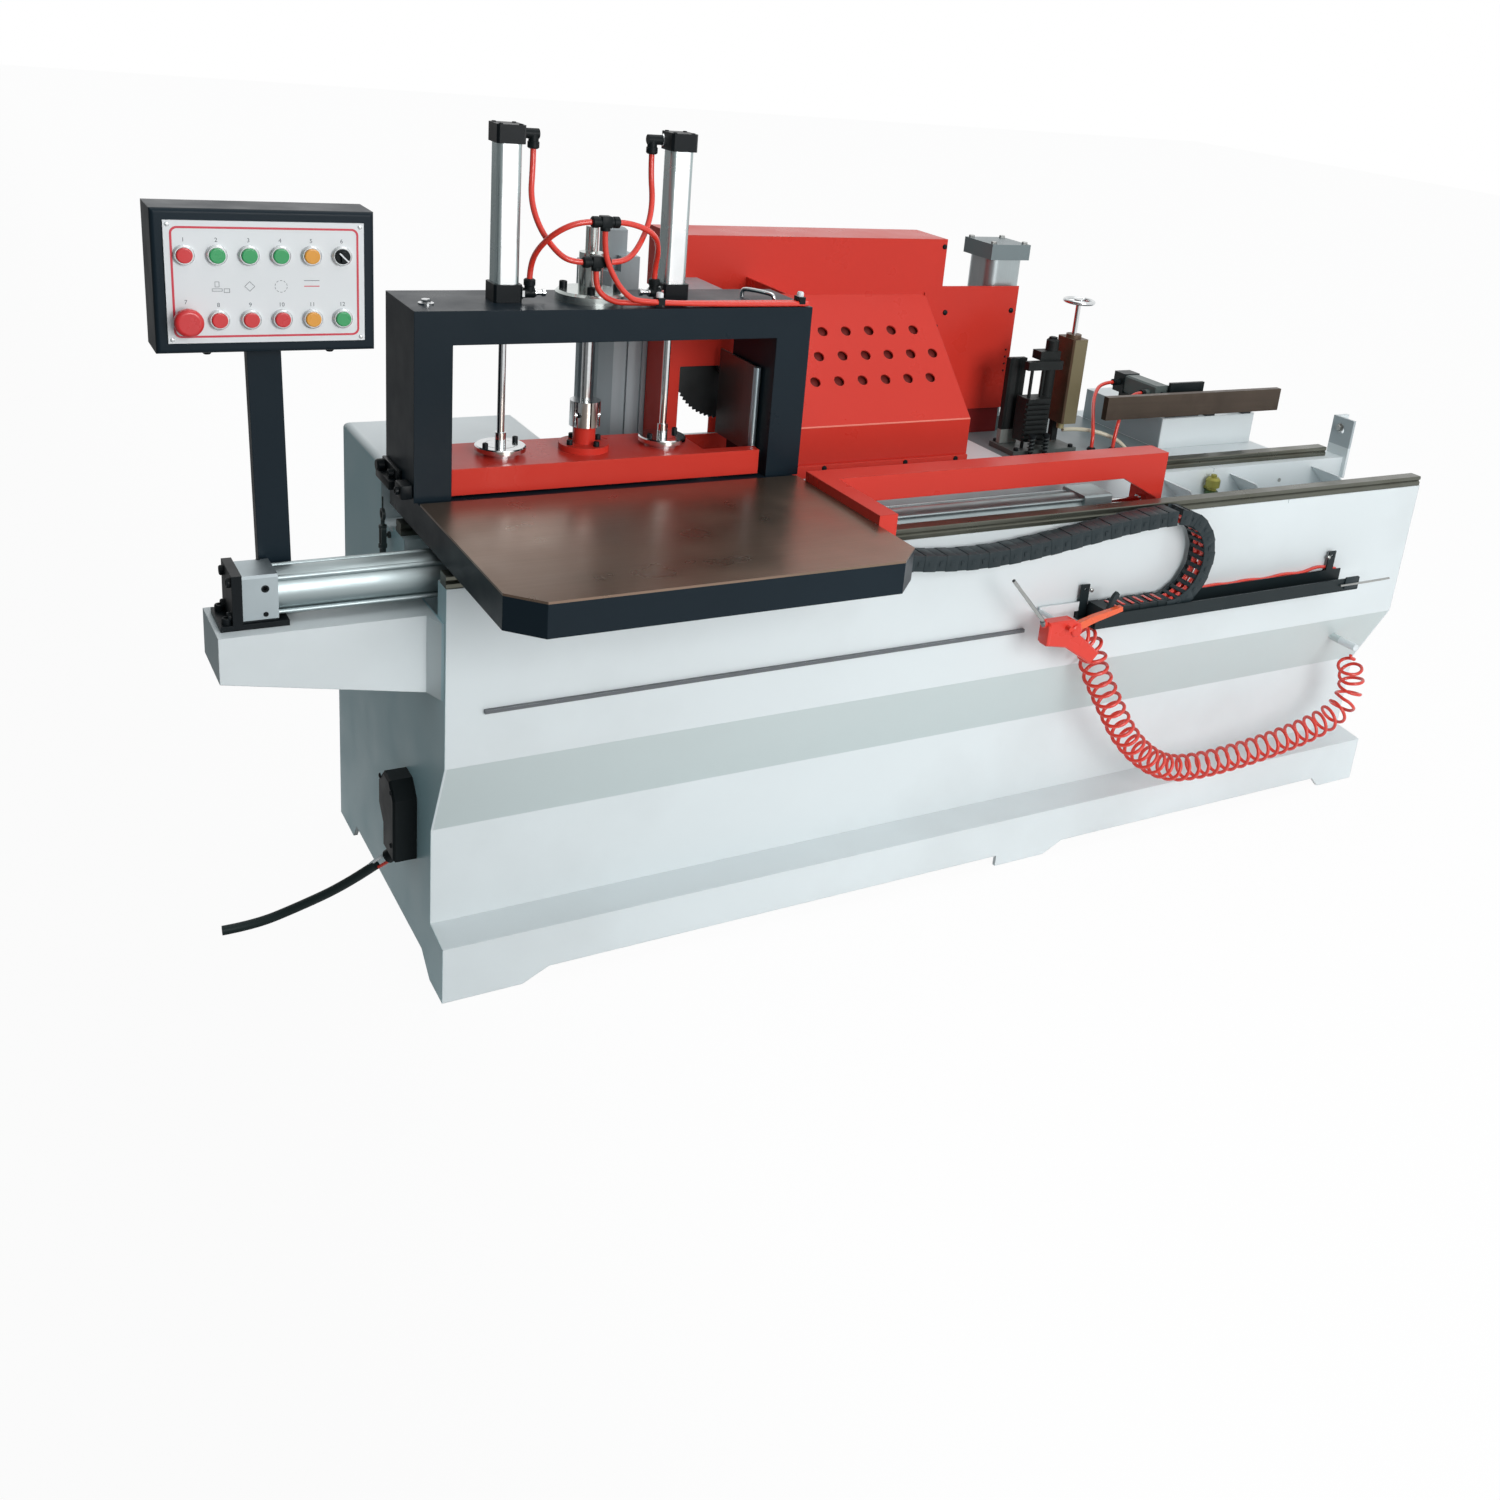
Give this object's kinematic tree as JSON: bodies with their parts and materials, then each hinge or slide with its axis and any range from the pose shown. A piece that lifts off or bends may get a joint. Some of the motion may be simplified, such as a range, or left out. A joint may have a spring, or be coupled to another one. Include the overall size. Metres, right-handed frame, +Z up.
{
  "type": "finger joint machine",
  "caption": "Floor-standing finger joint shaper: sliding clamping table under an air-press portal, hooded trim saw and cutter, glue unit, control panel, drag chain and curly air hose.",
  "frame": {"origin": "middle of the footprint on the floor, cords left out", "axes": "+X along the rails from the drive cylinder's end towards the glue end, +Y from the operator's side to the rear, +Z up"},
  "size_m": [2.765, 1.134, 1.474],
  "materials": {
    "white_paint": "satin",
    "rail_steel": "ground",
    "cylinder_alu": "anodised",
    "black_paint": "satin",
    "blue_black": "satin",
    "panel_white": "smooth",
    "bezel_metal": "satin",
    "black_plastic": "smooth",
    "cable_rubber": "smooth",
    "red_paint": "gloss",
    "motor_grey": "satin",
    "saw_steel": "ground",
    "machined_steel": "turned",
    "belt_rubber": "smooth",
    "tank_bronze": "aged",
    "chrome": "polished",
    "clear_hose": "smooth",
    "bare_bar": "oxidised",
    "table_steel": "ground",
    "fence_steel": "ground",
    "red_tube": "smooth",
    "chain_plastic": "smooth",
    "gun_red": "smooth",
    "gun_orange": "smooth",
    "button_red": "smooth",
    "button_green": "smooth",
    "button_amber": "smooth"
  },
  "bodies": {
    "base": {"base_frame": "white_paint", "cylinder_tray": "white_paint", "pump_box": "white_paint", "guide_rails": "rail_steel", "drive_cylinder": "cylinder_alu", "drive_feet": "black_paint", "control_post": "blue_black", "control_box": "blue_black", "control_face": "panel_white", "button_bezels": "bezel_metal", "junction_box": "black_plastic", "mains_cable": "cable_rubber", "hood": "red_paint", "saw_motor": "motor_grey", "spindle_motor": "motor_grey", "spindle_housing": "machined_steel", "drive_belt": "belt_rubber", "lift_cylinder": "cylinder_alu", "glue_stand": "black_paint", "glue_tank": "tank_bronze", "glue_hose": "clear_hose", "stop_cylinder": "black_paint", "chain_duct": "chain_plastic", "air_gun": "gun_red", "curly_hose": "red_tube"},
    "carriage": {"table_casting": "blue_black", "table_top": "table_steel", "bearing_blocks": "machined_steel", "portal": "blue_black", "press_caps": "black_paint", "press_tubes": "cylinder_alu", "guide_bush": "chrome", "side_fence": "fence_steel", "push_frame": "red_paint", "drive_rod": "chrome", "tube_fittings": "black_plastic", "air_tubes": "red_tube", "chain_upper": "chain_plastic"},
    "press": {"press_beam": "red_paint", "press_rods": "chrome"},
    "chain_loop": {"chain_bend": "chain_plastic"},
    "saw": {"saw_blade": "saw_steel"},
    "spindle": {"cutter_spindle": "machined_steel"},
    "motor_shaft": {"motor_pulley": "machined_steel"},
    "glue_applicator": {"glue_head": "black_paint"},
    "handwheel": {"glue_handwheel": "chrome"},
    "stop": {"stop_bar": "bare_bar"},
    "gun_trigger": {"air_gun_lever": "gun_orange"},
    "stop_button": {"emergency_stop": "button_red"},
    "selector": {"selector_switch": "black_plastic"},
    "push_button_1": {"push_button_1": "button_red"},
    "push_button_2": {"push_button_2": "button_green"},
    "push_button_3": {"push_button_3": "button_green"},
    "push_button_4": {"push_button_4": "button_green"},
    "push_button_5": {"push_button_5": "button_amber"},
    "push_button_6": {"push_button_6": "button_red"},
    "push_button_7": {"push_button_7": "button_red"},
    "push_button_8": {"push_button_8": "button_red"},
    "push_button_9": {"push_button_9": "button_amber"},
    "push_button_10": {"push_button_10": "button_green"}
  },
  "joints": [
    {"name": "carriage_slide", "type": "slide", "parent": "base", "child": "carriage", "axis": [1, 0, 0], "range_m": [0, 1.45], "deforming": ["chain_upper"]},
    {"name": "press_slide", "type": "slide", "parent": "carriage", "child": "press", "axis": [0, 0, 1], "range_m": [0, 0.1]},
    {"name": "chain_loop_slide", "type": "slide", "parent": "base", "child": "chain_loop", "axis": [1, 0, 0], "range_m": [0, 0.725]},
    {"name": "saw_spin", "type": "hinge", "parent": "base", "child": "saw", "pos_m": [-0.3145, 0.147, 1.028], "axis": [0, 1, 0], "continuous": true},
    {"name": "spindle_spin", "type": "hinge", "parent": "base", "child": "spindle", "pos_m": [0.0915, 0.302, 0.8], "axis": [0, 0, 1], "continuous": true},
    {"name": "motor_spin", "type": "hinge", "parent": "base", "child": "motor_shaft", "pos_m": [-0.4745, 0.287, 0.7], "axis": [0, 0, 1], "continuous": true},
    {"name": "glue_head_slide", "type": "slide", "parent": "base", "child": "glue_applicator", "axis": [0, 0, 1], "range_m": [0, 0.06]},
    {"name": "handwheel_turn", "type": "hinge", "parent": "base", "child": "handwheel", "pos_m": [0.6335, 0.227, 1.124], "axis": [0, 0, 1], "continuous": true},
    {"name": "stop_bar_slide", "type": "slide", "parent": "base", "child": "stop", "axis": [0, 1, 0], "range_m": [0, 0.02]},
    {"name": "gun_trigger_turn", "type": "hinge", "parent": "base", "child": "gun_trigger", "pos_m": [0.2435, -0.356, 0.589], "axis": [0, 1, 0], "range_deg": [0, 12], "stiffness_Nm_per_rad": 0.5, "springref_deg": -8.59},
    {"name": "emergency_stop_press", "type": "slide", "parent": "base", "child": "stop_button", "axis": [0, 1, 0], "range_m": [0, 0.006], "stiffness_N_per_m": 900, "springref_m": -0.002},
    {"name": "selector_turn", "type": "hinge", "parent": "base", "child": "selector", "pos_m": [-1.124, -0.163, 1.284], "axis": [0, 1, 0], "range_deg": [-45, 45]},
    {"name": "push_button_1_press", "type": "slide", "parent": "base", "child": "push_button_1", "axis": [0, 1, 0], "range_m": [0, 0.004], "stiffness_N_per_m": 600, "springref_m": -0.002},
    {"name": "push_button_2_press", "type": "slide", "parent": "base", "child": "push_button_2", "axis": [0, 1, 0], "range_m": [0, 0.004], "stiffness_N_per_m": 600, "springref_m": -0.002},
    {"name": "push_button_3_press", "type": "slide", "parent": "base", "child": "push_button_3", "axis": [0, 1, 0], "range_m": [0, 0.004], "stiffness_N_per_m": 600, "springref_m": -0.002},
    {"name": "push_button_4_press", "type": "slide", "parent": "base", "child": "push_button_4", "axis": [0, 1, 0], "range_m": [0, 0.004], "stiffness_N_per_m": 600, "springref_m": -0.002},
    {"name": "push_button_5_press", "type": "slide", "parent": "base", "child": "push_button_5", "axis": [0, 1, 0], "range_m": [0, 0.004], "stiffness_N_per_m": 600, "springref_m": -0.002},
    {"name": "push_button_6_press", "type": "slide", "parent": "base", "child": "push_button_6", "axis": [0, 1, 0], "range_m": [0, 0.004], "stiffness_N_per_m": 600, "springref_m": -0.002},
    {"name": "push_button_7_press", "type": "slide", "parent": "base", "child": "push_button_7", "axis": [0, 1, 0], "range_m": [0, 0.004], "stiffness_N_per_m": 600, "springref_m": -0.002},
    {"name": "push_button_8_press", "type": "slide", "parent": "base", "child": "push_button_8", "axis": [0, 1, 0], "range_m": [0, 0.004], "stiffness_N_per_m": 600, "springref_m": -0.002},
    {"name": "push_button_9_press", "type": "slide", "parent": "base", "child": "push_button_9", "axis": [0, 1, 0], "range_m": [0, 0.004], "stiffness_N_per_m": 600, "springref_m": -0.002},
    {"name": "push_button_10_press", "type": "slide", "parent": "base", "child": "push_button_10", "axis": [0, 1, 0], "range_m": [0, 0.004], "stiffness_N_per_m": 600, "springref_m": -0.002}
  ],
  "couplings": [
    {"joint": "chain_loop_slide", "follows": "carriage_slide", "ratio": 0.5},
    {"joint": "motor_spin", "follows": "spindle_spin", "ratio": 1}
  ]
}
